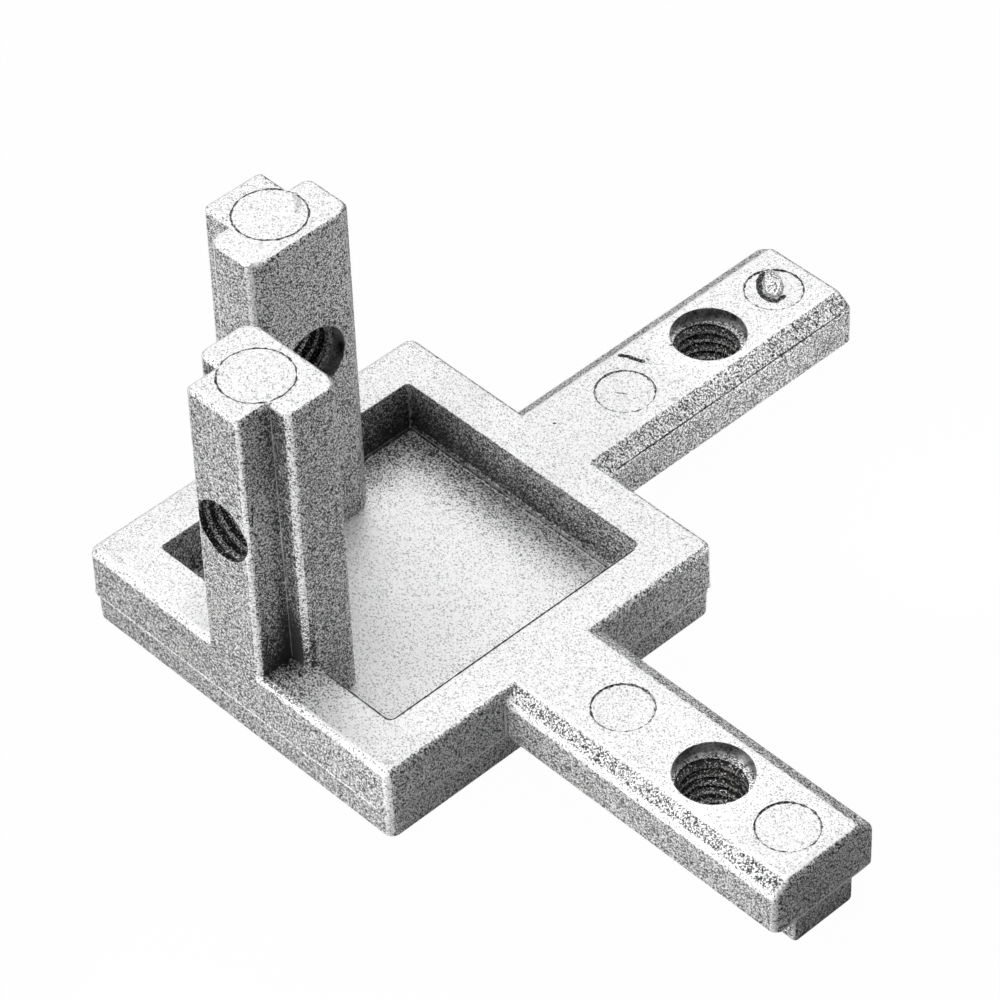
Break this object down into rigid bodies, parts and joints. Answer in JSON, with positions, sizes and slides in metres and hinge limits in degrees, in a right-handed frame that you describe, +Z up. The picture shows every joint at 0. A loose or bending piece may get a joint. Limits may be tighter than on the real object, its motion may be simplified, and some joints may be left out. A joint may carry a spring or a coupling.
{
  "type": "three way corner connector",
  "caption": "Cast corner piece for slotted aluminium profiles: a square recessed plate with two level arms and two upright posts of T section, each with a threaded hole for a set screw.",
  "frame": {"origin": "centre of the square plate's underside, on the plane the part stands on", "axes": "+Z up along the posts; +X along one level arm; +Y along the other; the posts stand on the -Y and -X sides of the plate"},
  "size_m": [0.082, 0.082, 0.0439],
  "materials": {
    "cast_metal": "fine blasted die-cast zinc alloy, satin silver grey"
  },
  "bodies": {
    "root": {"corner_connector": "cast_metal"}
  },
  "joints": []
}
